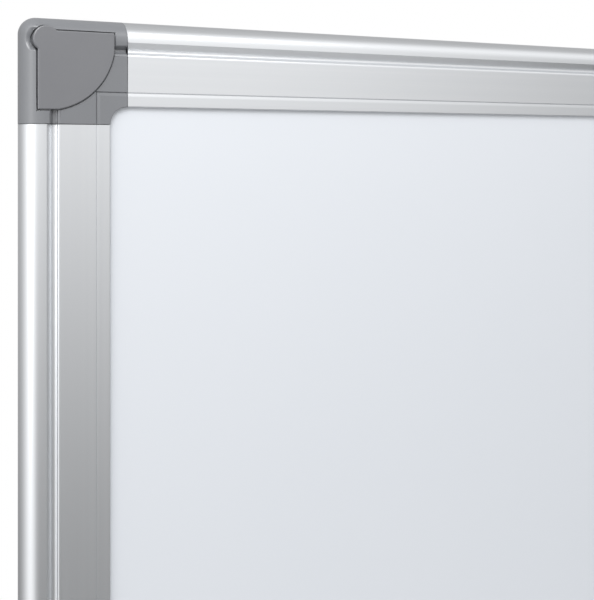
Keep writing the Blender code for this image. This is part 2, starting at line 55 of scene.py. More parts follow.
def fill(node, inputs):
    """Fills a node's inputs: a socket is joined to its input, a plain value is set on it."""
    for key, value in inputs.items():
        if isinstance(value, bpy.types.NodeSocket):
            node.id_data.links.new(value, node.inputs[key])
        else:
            node.inputs[key].default_value = value


def adder(tree):
    """A call that adds a node to the tree, with its inputs and its settings."""

    def add(kind, inputs, **settings):
        node = tree.nodes.new("ShaderNode" + kind)
        for key, value in settings.items():
            setattr(node, key, value)
        fill(node, inputs)
        return node

    return add


def finish(name):
    """Starts a finish: its material, its shader, the call that adds nodes, and where a spot lies."""
    material = bpy.data.materials.new(name)
    material.use_nodes = True
    add = adder(material.node_tree)
    spots = add("TexCoord", {}).outputs["Object"]
    return material, material.node_tree.nodes["Principled BSDF"], add, spots


def stretched(add, spots, scales, turn=0.0):
    """Where a spot lies, each axis scaled and then all turned about the depth, in radians."""
    inputs = {"Vector": spots, "Rotation": (0.0, turn, 0.0), "Scale": scales}
    return add("Mapping", inputs).outputs[0]


def noise(add, spots, scale, detail):
    """A cloud from 0 to 1, with its number of waves in a metre and of finer layers."""
    return add("TexNoise", {"Vector": spots, "Scale": scale, "Detail": detail}).outputs[0]


def relief(add, height, strength, depth):
    """A height from 0 to 1 as a fine relief, with its depth in metres."""
    return add("Bump", {"Height": height, "Strength": strength, "Distance": depth}).outputs[0]


def through(band, stops):
    """Sets a colour ramp's band to go through (place, three numbers) stops."""
    while len(band.elements) < len(stops):
        band.elements.new(0.5)
    for element, (position, values) in zip(band.elements, stops):
        element.position = position
        element.color = (*values, 1.0)


def shades(add, factor, stops):
    """A colour that follows a factor through (place, colour) stops."""
    ramp = add("ValToRGB", {"Fac": factor})
    through(ramp.color_ramp, stops)
    return ramp.outputs["Color"]


def between(add, factor, low, high):
    """A number that goes from low to high as the factor goes from 0.3 to 0.7."""
    return add("MapRange", {0: factor, 1: 0.3, 2: 0.7, 3: low, 4: high}).outputs[0]


def dress(node_name, material):
    """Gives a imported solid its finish."""
    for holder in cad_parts[node_name].material_slots:
        holder.material = material


def lacquered():
    """White lacquer: broad clouds in its tint, wiped smears in its gloss, orange peel in relief."""
    material, shader, add, spots = finish("white_lacquer")
    clouds = noise(add, spots, 5.0, 3.0)
    smears = noise(add, stretched(add, spots, (5.0, 5.0, 32.0), turn=0.5), 1.0, 6.0)
    stops = [(0.3, (0.692, 0.720, 0.762)), (0.7, (0.703, 0.728, 0.768))]
    fill(shader, {
        "Base Color": shades(add, clouds, stops),
        "Roughness": between(add, smears, 0.10, 0.17),
        "Normal": relief(add, noise(add, spots, 420.0, 1.0), 0.06, 0.0002),
    })
    return material


dress("writing_sheet", lacquered())

# ---------------------------------------------------------------------------------------------
# Core board. Brown fibreboard that keeps the steel flat. It is pressed between the writing
# sheet and the backing, and only its cut edges could ever be seen.
# ---------------------------------------------------------------------------------------------


def fibreboard():
    """Brown fibres that lie flat: six times finer through the board than along it, in shade and in
    relief."""
    material, shader, add, spots = finish("core_fibre")
    fibres = noise(add, stretched(add, spots, (1.0, 6.0, 1.0)), 650.0, 8.0)
    stops = [(0.3, (0.20, 0.13, 0.075)), (0.52, (0.36, 0.26, 0.16)), (0.72, (0.50, 0.39, 0.26))]
    fill(shader, {
        "Base Color": shades(add, fibres, stops),
        "Roughness": 0.92,
        "Normal": relief(add, fibres, 0.5, 0.0003),
    })
    return material


dress("core_board", fibreboard())

# ---------------------------------------------------------------------------------------------
# Backing. Thin steel sheet, hot-dip galvanised, which closes the panel from behind and keeps it
# from warping. Its zinc has the usual spangle of crystals, each with a shade of its own.
# ---------------------------------------------------------------------------------------------


def galvanised():
    """Spangled zinc: cells with wavering edges, each with its own shade and gloss, and a grain."""
    material, shader, add, spots = finish("galvanised_sheet")
    waver = add("TexNoise", {"Vector": spots, "Scale": 60.0, "Detail": 3.0}).outputs["Color"]
    bent = add("MixRGB", {"Fac": 0.006, "Color1": spots, "Color2": waver}).outputs[0]
    crystals = add("TexVoronoi", {"Vector": bent, "Scale": 150.0}).outputs["Color"]
    tones = add("SeparateColor", {"Color": crystals}).outputs
    grain = noise(add, spots, 900.0, 5.0)
    mixed = add("MixRGB", {"Fac": 0.25, "Color1": tones[0], "Color2": grain}).outputs[0]
    stops = [(0.1, (0.63, 0.645, 0.66)), (0.5, (0.69, 0.70, 0.712)), (0.9, (0.75, 0.758, 0.765))]
    fill(shader, {
        "Base Color": shades(add, mixed, stops),
        "Roughness": between(add, tones[1], 0.34, 0.44),
        "Normal": relief(add, mixed, 0.12, 0.0002),
        "Metallic": 1.0,
    })
    return material


dress("backing_sheet", galvanised())

# ---------------------------------------------------------------------------------------------
# Rails. Four lengths of one hollow aluminium extrusion, sawn square and satin anodised: a round
# nose outside, a groove, a flat band with a fine score line, and a pocket that holds the panel.
# The ends butt against the corner mouldings.
# ---------------------------------------------------------------------------------------------

# In metres: half the board, the wall behind its front band, the middle of the nose in from the
# edge and back from the band, and the screws through the rails in from the edge and along it.
HALF_WIDTH, HALF_HEIGHT = 0.45, 0.3
WALL = 0.01805
NOSE, NOSE_DEPTH = 0.00925, 0.0088
SCREW_IN, SCREW_ALONG = 0.01175, 0.0548

# In millimetres, across the rail and back: the width of its face and the back of its lip, the
# pocket's bottom and back, the ledge behind the panel and its back, and the foot's inner side.
FACE, LIP = 36, 1.5
POCKET, POCKET_BACK = 15.1, 12.1
LEDGE, LEDGE_BACK = 26.1, 13.5
FOOT = 16.45


def place(u, v, n):
    """Board measures to the world: x = u - half the width, y = n - WALL, z = half the height - v."""
    return np.stack(np.broadcast_arrays(u - HALF_WIDTH, n - WALL, HALF_HEIGHT - v), axis=-1)


def nose(radius, start, end, steps):
    """Points round the nose: u = NOSE - r sin t and n = NOSE_DEPTH - r cos t, t in degrees."""
    t = np.radians(np.linspace(start, end, steps + 1))
    return np.stack([NOSE - radius * np.sin(t), NOSE_DEPTH - radius * np.cos(t)], axis=1)


def eased(corners, radii, steps=4):
    """A run of points, in millimetres, whose inner corners are rounded.

    The arc at a corner touches both sides at r / tan(half angle) from it. Its points swing evenly
    from one touch to the other about a centre at r / sin(half angle) along the bisector.
    """
    points = np.asarray(corners, float) / 1000
    radii = np.asarray(radii, float)[:, None] / 1000
    here = points[1:-1]
    back, on = points[:-2] - here, points[2:] - here
    back /= np.linalg.norm(back, axis=1, keepdims=True)
    on /= np.linalg.norm(on, axis=1, keepdims=True)
    half = np.arccos(np.clip((back * on).sum(1, keepdims=True), -1, 1)) / 2
    bisector = (back + on) / np.linalg.norm(back + on, axis=1, keepdims=True)
    centre = here + bisector * radii / np.sin(half)
    start = (here + back * radii / np.tan(half) - centre)[:, None]
    end = (here + on * radii / np.tan(half) - centre)[:, None]
    turn = (np.pi - 2 * half)[:, None]
    way = np.linspace(0, 1, steps + 1)[None, :, None]
    swing = (start * np.sin((1 - way) * turn) + end * np.sin(way * turn)) / np.sin(turn)
    arcs = (centre[:, None] + swing).reshape(-1, 2)
    return np.concatenate([points[:1], arcs, points[-1:]])


def drawn_in(outline, by):
    """A closed outline moved inwards: each point goes against the normal of the chord beside it."""
    chord = np.roll(outline, -1, axis=0) - np.roll(outline, 1, axis=0)
    normal = np.stack([chord[:, 1], -chord[:, 0]], axis=1)
    normal /= np.linalg.norm(normal, axis=1, keepdims=True) + 1e-12
    x, y = outline.T
    area = (x * np.roll(y, -1) - y * np.roll(x, -1)).sum()
    return outline - normal * by * np.sign(area)


def skin(rings, ring_to_ring=False):
    """A closed skin over rings of points. Point j of ring i joins point j + 1 and ring i + 1, and
    the first and last rings are capped, or joined to each other."""
    rows, count = rings.shape[:2]
    index = np.arange(rows * count).reshape(rows, count)
    here, above = (index, np.roll(index, -1, axis=0)) if ring_to_ring else (index[:-1], index[1:])
    quads = np.stack([here, np.roll(here, -1, axis=1), np.roll(above, -1, axis=1), above], axis=-1)
    faces = quads.reshape(-1, 4).tolist()
    if not ring_to_ring:
        faces += [index[0].tolist(), index[-1].tolist()]
    mesh = bpy.data.meshes.new("skin")
    mesh.from_pydata(rings.reshape(-1, 3).tolist(), [], faces)
    work = bmesh.new()
    work.from_mesh(mesh)
    bmesh.ops.remove_doubles(work, verts=work.verts, dist=1e-6)
    bmesh.ops.recalc_face_normals(work, faces=work.faces)
    if work.calc_volume(signed=True) < 0:
        bmesh.ops.reverse_faces(work, faces=work.faces)
    work.to_mesh(mesh)
    work.free()
    return mesh


def drawn(outline, alongs, upright, draws=None):
    """An outline across the rail carried along it: ring i lies at alongs[i], moved in by draws[i]."""
    draws = [0.0] * len(alongs) if draws is None else draws
    rings = np.stack([drawn_in(outline, by) for by in draws])
    along = np.asarray(alongs, float)[:, None]
    across, depth = rings[..., 0], rings[..., 1]
    return skin(place(across, along, depth) if upright else place(along, across, depth))


def turned(profile, u, v, steps=48, closed=False):
    """Radius and depth pairs, in millimetres, turned about a line through (u, v) along the depth:
    u + r cos t and v + r sin t. A closed profile makes a ring."""
    radius, depth = np.asarray(profile, float).T[:, :, None] / 1000
    t = np.linspace(0, 2 * np.pi, steps, endpoint=False)[None]
    return skin(place(u + radius * np.cos(t), v + radius * np.sin(t), depth), closed)


def carved(base, joined=(), cut=()):
    """The base mesh with some meshes joined to it and then others cut from it."""
    target = bpy.data.objects.new("base", base)
    bpy.context.collection.objects.link(target)
    helpers = []
    for operation, meshes in (("UNION", joined), ("DIFFERENCE", cut)):
        for mesh in meshes:
            helper = bpy.data.objects.new("helper", mesh)
            bpy.context.collection.objects.link(helper)
            modifier = target.modifiers.new(operation, "BOOLEAN")
            modifier.operation = operation
            modifier.solver = "MANIFOLD"
            modifier.object = helper
            helpers.append(helper)
    bpy.context.view_layer.update()
    whole = target.evaluated_get(bpy.context.evaluated_depsgraph_get())
    result = bpy.data.meshes.new_from_object(whole)
    for helper in [*helpers, target]:
        bpy.data.objects.remove(helper)
    result.materials.clear()
    return result


def show(name, mesh, material, body, stands_for, mirror=(1, 1), bevel=0.0):
    """A finished piece: a copy of the mesh, mirrored in x and z by the signs and turned outwards.
    Its sharp edges may be bevelled, and its flat faces keep even shading up to their edges."""
    sharp = math.radians(35)
    mesh = mesh.copy()
    points = np.empty(len(mesh.vertices) * 3)
    mesh.vertices.foreach_get("co", points)
    points = points.reshape(-1, 3) * (mirror[0], 1, mirror[1])
    mesh.vertices.foreach_set("co", points.ravel())
    if mirror[0] * mirror[1] < 0:
        mesh.flip_normals()
    mesh.materials.clear()
    mesh.materials.append(material)
    mesh.shade_smooth()
    mesh.set_sharp_from_angle(angle=sharp)
    made = bpy.data.objects.new(name, mesh)
    bpy.context.collection.objects.link(made)
    if bevel:
        edge = made.modifiers.new("edge", "BEVEL")
        edge.width = bevel
        edge.segments = 2
        edge.limit_method = "ANGLE"
        edge.angle_limit = sharp
        edge.use_clamp_overlap = False
    flats = made.modifiers.new("flats", "WEIGHTED_NORMAL")
    flats.keep_sharp = True
    flats.weight = 100
    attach(made, body)
    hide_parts(*stands_for)
    return made


def anodised(name, axis):
    """Satin anodised aluminium: the die's fine lines and broad bands run along one axis, under the
    even grain of the etch."""
    material, shader, add, spots = finish(name)
    fine, broad = [2600.0] * 3, [338.0] * 3
    fine[axis], broad[axis] = 5.0, 0.8
    lines = noise(add, stretched(add, spots, fine), 1.0, 2.0)
    bands = noise(add, stretched(add, spots, broad), 1.0, 3.0)
    etch = noise(add, spots, 5000.0, 2.0)
    height = add("MixRGB", {"Fac": 0.35, "Color1": lines, "Color2": etch}).outputs[0]
    stops = [(0.3, (0.788, 0.806, 0.828)), (0.7, (0.808, 0.824, 0.845))]
    fill(shader, {
        "Base Color": shades(add, bands, stops),
        "Roughness": between(add, lines, 0.28, 0.32),
        "Normal": relief(add, height, 0.02, 0.00005),
        "Metallic": 1.0,
    })
    return material


def groove(step):
    """The front from the crest to the flat band, in millimetres, with the radius of each corner: a
    straight fall, a hollow floor that curls up to a fine crease, and a round shoulder."""
    run = [(9.3, step - 0.45), (12.25, step + 1.75), (13.05, step + 1.7), (13.91, step + 0.96)]
    run += [(13.98, step + 1.28), (14.1, step + 0.48), (14.65, step)]
    return run, [0.06, 0.08, 1.2, 0.04, 0.04, 0.06, 1.9]


def score(step):
    """The score line across the flat band: a steep outer side and a long rounded inner one."""
    run = [(29.9, step), (30.15, step + 0.4), (30.32, step + 0.26), (31.5, step)]
    return run, [0.08, 0.06, 0.06, 2.5]


def rail_outline():
    """The extrusion's section: the nose's arc, then every other corner with its own rounding. Its
    band lies 0.2 mm behind the mouldings', and its back 0.2 mm before the wall."""
    step, back = 0.2, 17.85
    run, radii = groove(step)
    line, line_radii = score(step)
    corners = [(8.62, -0.228), *run, *line, (FACE, step), (FACE, LIP)]
    corners += [(POCKET, LIP), (POCKET, POCKET_BACK), (LEDGE, POCKET_BACK), (LEDGE, LEDGE_BACK)]
    corners += [(FOOT, LEDGE_BACK), (FOOT, back), (9.5, back)]
    radii = [*radii, *line_radii, 0.4, 0.1, 0.15, 0.15, 0.15, 0.25, 0.2, 0.4]
    return np.concatenate([nose(0.00905, 180, 4, 44)[:-1], eased(corners, radii, 6)])


def chamber(inset):
    """The hollow in the nose, 1.4 mm inside the section, or the plug that fills it."""
    edge, low = 7.65 - inset, 4.7 + inset
    arc = nose(edge / 1000, 180, 12, 28)
    corners = [tuple(arc[-1] * 1000), (10.45 - inset, low), (13.7 - inset, low)]
    corners += [(13.7 - inset, 8.8 + edge), (9.3, 8.8 + edge)]
    return np.concatenate([arc, eased(corners, [0.6, 0.6, 0.6])[1:]])


def rail(length, upright):
    """One rail: the section drawn between the mouldings with its sawn edges broken, hollow, and
    with a countersunk hole near each end."""
    moulding_end, broken, over = 0.0434, 0.00012, 0.002
    start, end = moulding_end, length - moulding_end
    alongs = (start, start + broken, end - broken, end)
    outer = drawn(rail_outline(), alongs, upright, (broken, 0, 0, broken))
    cuts = [drawn(chamber(0.0), (start - over, end + over), upright)]
    for along in (SCREW_ALONG, length - SCREW_ALONG):
        u, v = (SCREW_IN, along) if upright else (along, SCREW_IN)
        cuts.append(turned([(1.7, 12.5), (1.7, 16.55), (3.0, 17.85), (3.0, 19.9)], u, v, 32))
    return carved(outer, cut=cuts)


aluminium_level = anodised("anodised_level", axis=0)
aluminium_upright = anodised("anodised_upright", axis=2)
level, upright = rail(2 * HALF_WIDTH, False), rail(2 * HALF_HEIGHT, True)
for name, mesh, material, mirror in (
    ("top", level, aluminium_level, (1, 1)),
    ("bottom", level, aluminium_level, (1, -1)),
    ("left", upright, aluminium_upright, (1, 1)),
    ("right", upright, aluminium_upright, (-1, 1)),
):
    show(f"extrusion_{name}", mesh, material, "frame", [f"rail_{name}"], mirror)

# ---------------------------------------------------------------------------------------------
# Corner mouldings. Injection-moulded grey plastic, one at each corner, with two plugs that push
# into the rails' noses. Each has a shallow seat for its cover and a well for the wall screw.
# ---------------------------------------------------------------------------------------------


def moulded(name, low, high):
    """Grey plastic with the mould's fine spark grain and a faint flow mottle between two shades."""
    material, shader, add, spots = finish(name)
    flow = noise(add, spots, 45.0, 3.0)
    grain = noise(add, spots, 3800.0, 3.0)
    fill(shader, {
        "Base Color": shades(add, flow, [(0.3, low), (0.7, high)]),
        "Roughness": between(add, grain, 0.27, 0.35),
        "Normal": relief(add, grain, 0.16, 0.00006),
        "Specular IOR Level": 0.9,
    })
    return material


def corner_block():
    """The block as flat outlines stacked round the nose. Outline t lies d = NOSE - 9.1 mm sin t in
    from the edges and n = NOSE_DEPTH - r cos t back, with r 9.1 mm in front and 9.23 mm behind.
    Its outer corner is an arc of radius 7 mm - d, and never under 0.3 mm. Points lie close together
    for the first 19 mm of each side. Left of the knuckle they sink by a finger dish, which is 2 mm
    deep at the bore, a quarter less at its upper end, and fades out 2.1 mm from the bore."""
    front, behind = 0.0091, 0.00923
    close, far, reach = 0.019, 0.0384, 0.0433
    t = np.radians(np.linspace(0, 180, 91))[:, None]
    d = NOSE - front * np.sin(t)
    n = NOSE_DEPTH - np.where(t < np.pi / 2, front, behind) * np.cos(t)
    r = np.maximum(0.007 - d, 0.0003)
    turn = np.radians(np.linspace(270, 180, 19))[None]
    arc_u, arc_v = d + r + r * np.cos(turn), d + r + r * np.sin(turn)
    run = d + r + (close - d - r) * np.linspace(0, 1, 80)[None]
    edge, before, side = np.full_like(d, reach), np.full_like(d, far), d + 0 * run
    u = np.hstack([edge, edge, before, run[:, ::-1], arc_u[:, 1:-1], side, d, d])
    v = np.hstack([edge, d, d, side, arc_v[:, 1:-1], run, before, edge])
    bore, width, depth = 0.0056, 0.0021, 0.002
    away = np.hypot(u - NOSE, v - NOSE)
    leftward = (NOSE - u) / np.maximum(away, 0.001)
    rim = bore + width * np.clip((leftward - 0.58) / 0.24, 0, 1)
    lower = 0.75 + 0.25 * np.clip((v - 0.0075) / 0.003, 0, 1)
    dish = depth * np.clip((rim - away) / width, 0, 1) * lower
    return skin(place(u, v, n + dish * (np.cos(t) > 0)))


def arc(x, y, radius, start, end, count):
    """Points (x + r cos t, y + r sin t), with t in degrees from start to end."""
    t = np.radians(np.linspace(start, end, count + 1))
    return np.stack([x + radius * np.cos(t), y + radius * np.sin(t)], axis=1)


def cover_shape(radius, side, knuckle, cut, fillet, steps=64):
    """The cover's plan about its pivot, in millimetres: a quarter arc, two straight sides and a round
    knuckle. A fillet of radius f joins knuckle and side, with its centre side + f beside the pivot
    and sqrt((knuckle + f)^2 - (side + f)^2) along it."""
    end = radius - cut
    turn = math.degrees(math.acos(end / radius))
    off = side + fillet
    along = math.sqrt((knuckle + fillet) ** 2 - off**2)
    lean = math.degrees(math.atan2(along, off))
    parts = [
        [(end, -side)],
        arc(0, 0, radius, turn, 90 - turn, steps),
        [(-side, end)],
        arc(-off, along, fillet, 0, -lean, 6),
        arc(0, 0, knuckle, 180 - lean, 270 + lean, 40)[1:-1],
        arc(along, -off, fillet, 90 + lean, 90, 6),
    ]
    return np.concatenate([np.asarray(part, float) for part in parts]) / 1000


def stacked(plans, depths):
    """A skin through plans in u and v, in metres, each at its own depth in millimetres."""
    return skin(np.stack([place(p[:, 0], p[:, 1], n / 1000) for p, n in zip(plans, depths)]))


def square(low, high, cut=0.0):
    """A square from low to high in u and v, in millimetres, with its outer corner cut off."""
    start = [(low, low + cut)] if cut else []
    return np.array([(low + cut, low), (high, low), (high, high), (low, high), *start]) / 1000


def corner():
    """The moulding: block and plugs, less seat, channels, groove ends, window, pocket and holes.
    Every cut starts before the front, ends behind the back and goes past the ends."""
    front, back, past = -2.45, 20.05, 45.5
    run, radii = groove(0.0)
    crest = [(9.75, front), (9.75, -0.38), (10.7, -0.2)]
    stub = eased([*crest, *run[1:], (16, 0), (16, front)], [0.06, 1.3, *radii[1:], 0.01])
    line, line_radii = score(0.0)
    line = eased([(29.9, -2), *line, (32.2, -0.02), (32.2, -2)], [0.01, *line_radii[1:], 0.01])
    channel = np.array([(5.3, front), (6.15, front), (6.15, 1.6), (5.3, 1.6)]) / 1000
    core = np.array([(10.1, 6.5), (13.7, 6.5), (13.7, back), (10.1, back)]) / 1000
    window = [[(past, FACE)], arc(43, 43, 7, 270, 180, 24), [(FACE, past), (past, past)]]
    window = np.concatenate(window) / 1000
    wider = (0.2, 0.2, 0.08, 0.0, 0.0)
    seat = [cover_shape(28.93 + w, 4.3 + w, 5.7 + w, 0.2, 0.5 - w) + NOSE for w in wider]
    cuts = [stacked(seat, (front, 0.0, 0.05, 0.2, 0.5))]
    cuts.append(stacked([square(14.0, past)] * 2, (front, 0.0)))
    cuts.append(stacked([window] * 2, (front, 6.8)))
    plugs = []
    for upright in (False, True):
        # From and to along each side, in metres: the plug, then the groove, the score line, the
        # channel beside the seat and the hollow behind it.
        plugs.append(drawn(chamber(0.3), (0.042, 0.065, 0.0655), upright, (0, 0, 0.0003)))
        cuts.append(drawn(stub, (0.0361, past / 1000), upright))
        cuts.append(drawn(line, (0.030, past / 1000), upright))
        cuts.append(drawn(channel, (NOSE, 0.0381), upright))
        cuts.append(drawn(core, (0.0226, 0.0406), upright))
        u, v = (SCREW_IN, SCREW_ALONG) if upright else (SCREW_ALONG, SCREW_IN)
        cuts.append(turned([(1.55, 8.55), (1.55, back)], u, v, 24))
    cuts.append(stacked([square(POCKET, past, 20)] * 2, (LIP, POCKET_BACK)))
    cuts.append(stacked([square(FOOT, past, 17.3)] * 2, (LEDGE_BACK, back)))
    cuts.append(stacked([square(LEDGE, past)] * 2, (6.8, back)))
    bore = [(5.62, front), (5.62, 4), (2.6, 4), (2.6, 12), (4.2, 12), (4.2, back)]
    cuts.append(turned(bore, NOSE, NOSE, 64))
    well = [(4.75, front), (4.75, 0.5), (2.5, 2.75), (2.5, back)]
    cuts.append(turned(well, 0.0205, 0.0205, 64))
    return carved(corner_block(), joined=plugs, cut=cuts)


grey = moulded("grey_moulding", (0.166, 0.172, 0.184), (0.175, 0.181, 0.194))
moulding = corner()
corners = {"top_left": (1, 1), "top_right": (-1, 1), "bottom_left": (1, -1), "bottom_right": (-1, -1)}
for name, mirror in corners.items():
    node = f"corner_{name}"
    show(f"moulding_{name}", moulding, grey, "frame", [node], mirror, bevel=0.00012)

# ---------------------------------------------------------------------------------------------
# Swivel covers. A thin moulded quarter disc over each screw well. Its knuckle has a post behind
# it that turns in the corner, so the cover swings out over the board's edge.
# ---------------------------------------------------------------------------------------------


def cover():
    """The plate as plans stacked round a quarter-round edge, each inset 0.55 mm (1 - sin t) at a
    depth of 0.55 mm (1 - cos t) from the face, with its boss and its drilled post."""
    t = np.linspace(0, np.pi / 2, 6)
    insets, depths = 0.55 * (1 - np.sin(t)), -0.7 + 0.55 * (1 - np.cos(t))
    plans = [cover_shape(28.7 - i, 3.5 - i, 5.42 - i, 0.4, 0.5 + i) + NOSE for i in (*insets, 0)]
    stem = [(5.05, -0.2), (5.05, 3.7), (2.4, 3.7), (2.4, 11.7), (2.1, 12)]
    hole = turned([(1.25, 4.5), (1.25, 14)], NOSE, NOSE, 32)
    return carved(stacked(plans, (*depths, 0.2)), joined=[turned(stem, NOSE, NOSE)], cut=[hole])


cover_grey = moulded("grey_cover", (0.152, 0.155, 0.167), (0.161, 0.164, 0.176))
cover_mesh = cover()
for name, mirror in corners.items():
    node = f"cover_{name}"
    show(f"swivel_{node}", cover_mesh, cover_grey, node, [node], mirror)

# ---------------------------------------------------------------------------------------------
# Pivot screws and washers. Zinc-plated pan-head screws with a cross recess, driven into the
# posts from behind over a plain washer, so that each cover turns without coming off.
# ---------------------------------------------------------------------------------------------


def zinc_plated():
    """Bright zinc clouded from bluish to straw, with the clouds in its gloss and a fine grain."""
    material, shader, add, spots = finish("zinc_plated_steel")
    clouds = noise(add, spots, 260.0, 4.0)
    stops = [(0.3, (0.55, 0.57, 0.60)), (0.55, (0.64, 0.65, 0.66)), (0.75, (0.68, 0.67, 0.63))]
    fill(shader, {
        "Base Color": shades(add, clouds, stops),
        "Roughness": between(add, clouds, 0.24, 0.36),
        "Normal": relief(add, noise(add, spots, 2600.0, 3.0), 0.12, 0.00005),
        "Metallic": 1.0,
    })
    return material


def cross_recess(u, v, back, deep, arm):
    """The driver's cross, in millimetres: a plus whose arms grow shorter and thinner with depth.
    The plus is three points of one arm, turned by quarters."""
    quarter_turn = np.array([[0, -1], [1, 0]])
    levels = ((1.0, 0.22, 0.5), (1.0, 0.22, 0.0), (0.8, 0.19, -0.55 * deep), (0.3, 0.15, -deep))
    rings = []
    for long, half, n in levels:
        quarter = np.array([(long, -half), (long, half), (half, half)]) * arm / 1000
        turns = [np.linalg.matrix_power(quarter_turn, k).T for k in range(4)]
        plus = np.concatenate([quarter @ turn for turn in turns])
        rings.append(place(u + plus[:, 0], v + plus[:, 1], (back + n) / 1000))
    return skin(np.stack(rings))


def pivot_screw():
    """A pan head, its rim a quarter round of 0.9 mm, on a shank with a small point."""
    t = np.linspace(0, np.pi / 2, 7)
    rim = list(zip(1.9 + 0.9 * np.cos(t), 13.9 + 0.9 * np.sin(t)))
    profile = [(0.3, 5.9), (1.1, 7.0), (1.1, 13.2), (2.8, 13.2), *rim]
    recess = cross_recess(NOSE, NOSE, back=15.0, deep=1.0, arm=1.6)
    return carved(turned(profile, NOSE, NOSE), cut=[recess])


def washer():
    """A flat ring with its four edges eased, turned about the pivot."""
    front, back, outer, inner = 12.3, 12.9, 3.8, 1.4
    section = [(2.6, front), (outer, front), (outer, back), (inner, back)]
    section += [(inner, front), (2.4, front)]
    return turned(eased(section, [0.1] * 4, 2) * 1000, NOSE, NOSE, closed=True)


zinc = zinc_plated()
pivot_screw_mesh, washer_mesh = pivot_screw(), washer()
for name, mirror in corners.items():
    body = f"cover_{name}"
    for kind, mesh in (("screw", pivot_screw_mesh), ("washer", washer_mesh)):
        node = f"cover_{kind}_{name}"
        show(f"pivot_{kind}_{name}", mesh, zinc, body, [node], mirror)

# ---------------------------------------------------------------------------------------------
# Rail screws. Eight countersunk screws, driven from behind through the rails into the corners'
# plugs, each just below the surface.
# ---------------------------------------------------------------------------------------------


def rail_screw(u, v):
    """A countersunk head on a straight shank: radius and depth pairs turned about the screw."""
    profile = [(0.3, 8.85), (1.4, 9.9), (1.4, 16.45), (2.62, 17.67), (2.7, 17.75)]
    return carved(turned(profile, u, v), cut=[cross_recess(u, v, back=17.75, deep=1.2, arm=1.7)])


for way, spot in (("level", (SCREW_ALONG, SCREW_IN)), ("upright", (SCREW_IN, SCREW_ALONG))):
    mesh = rail_screw(*spot)
    for name, mirror in corners.items():
        node = f"rail_screw_{way}_{name}"
        show(f"sunk_{node}", mesh, zinc, "frame", [node], mirror)

# ---------------------------------------------------------------------------------------------
# Pen tray. A second extrusion that hooks into the bottom rail's groove, wraps round its nose and
# carries a flat trough with a raised lip. It slides along the rail between the corners.
# ---------------------------------------------------------------------------------------------

# The tray's wall lies between these two radii round the rail's nose.
WRAP_INSIDE, WRAP_OUTSIDE = 0.00935, 0.01075
HALF_TRAY = 0.15


def wrap():
    """The wall round the nose: its inside from the crest to the back, and its outside from there to
    the edge, as two arcs."""
    return [nose(WRAP_INSIDE, 0, 140, 40), nose(WRAP_OUTSIDE, 140, 90, 14)]


def tray_section():
    """The tray's section, in u up from the board's lower edge and n: hook, wrap, floor and lip."""
    hook = [(10.5, -1.95), (13.3, -1.95), (13.3, 1.2), (12.2, 1.2), (12.2, -0.55), (9.4, -0.55)]
    trough = [(-1.5, 8.7), (-1.5, -48), (9, -48), (9, -46.4), (0.1, -46.4), (0.1, -2.25), (1.5, -1.0)]
    trough = eased(trough, [5, 0.75, 0.75, 3.4, 0.15], 10)
    rear = nose(WRAP_OUTSIDE, 50, 0, 24)
    rear = rear[rear[:, 0] > 0.0012]
    return np.concatenate([eased(hook, [0.4, 0.3, 0.3, 0.15]), *wrap(), trough[:-1], rear])


def tray_bar(section, starts, draws):
    """A section at the lower edge carried along x, ring i at starts[i] and moved in by draws[i]."""
    rings = np.stack([drawn_in(section, by) for by in draws])
    x = np.broadcast_to(np.asarray(starts, float)[:, None], rings.shape[:2])
    return skin(np.stack([x, rings[..., 1] - WALL, rings[..., 0] - HALF_HEIGHT], axis=-1))


broken = 0.00012
ends = (-HALF_TRAY, broken - HALF_TRAY, HALF_TRAY - broken, HALF_TRAY)
tray = tray_bar(tray_section(), ends, (broken, 0, 0, broken))
show("tray_extrusion", tray, aluminium_level, "tray", ["pen_tray"])

# ---------------------------------------------------------------------------------------------
# Tray caps. Grey moulded plates pressed on each end of the tray, which close the trough and cover
# the sawn edges.
# ---------------------------------------------------------------------------------------------


def cap_section():
    """The cap's plan: under the wrap, along the floor, up the lip and back over the trough."""
    plate = [(-1.5, 8.6), (-1.5, -48), (9, -48), (10.25, -1.95), (10.25, -0.55), (9.4, -0.55)]
    return np.concatenate([eased(plate, [5, 0.8, 0.5, 0.3], 10), *wrap()])


def tray_cap():
    """The plate, 2 mm thick, with a fine edge against the tray and a quarter round of 0.3 mm
    outside: inset by 0.3 mm (1 - sin t) at 0.3 mm (1 - cos t) from its outer face."""
    start, end, fine, radius = 0.1503, 0.1523, 0.0001, 0.0003
    t = np.linspace(np.pi / 2, 0, 5)
    starts = (start, start + fine, *(end - radius * (1 - np.cos(t))))
    return tray_bar(cap_section(), starts, (fine, 0, *(radius * (1 - np.sin(t)))))


cap = tray_cap()
for name, mirror in (("right", (1, 1)), ("left", (-1, 1))):
    node = f"pen_tray_cap_{name}"
    show(f"moulded_{node}", cap, grey, "tray", [node], mirror)

# ---------------------------------------------------------------------------------------------
# Floor, light and camera. A pale floor below the board that fades into the white background, a
# studio with a tall light on the left and a broad soft one in front above, and the photograph's
# view from the left of the top left corner.
# ---------------------------------------------------------------------------------------------

SMOOTH = {"interpolation_type": "SMOOTHSTEP"}


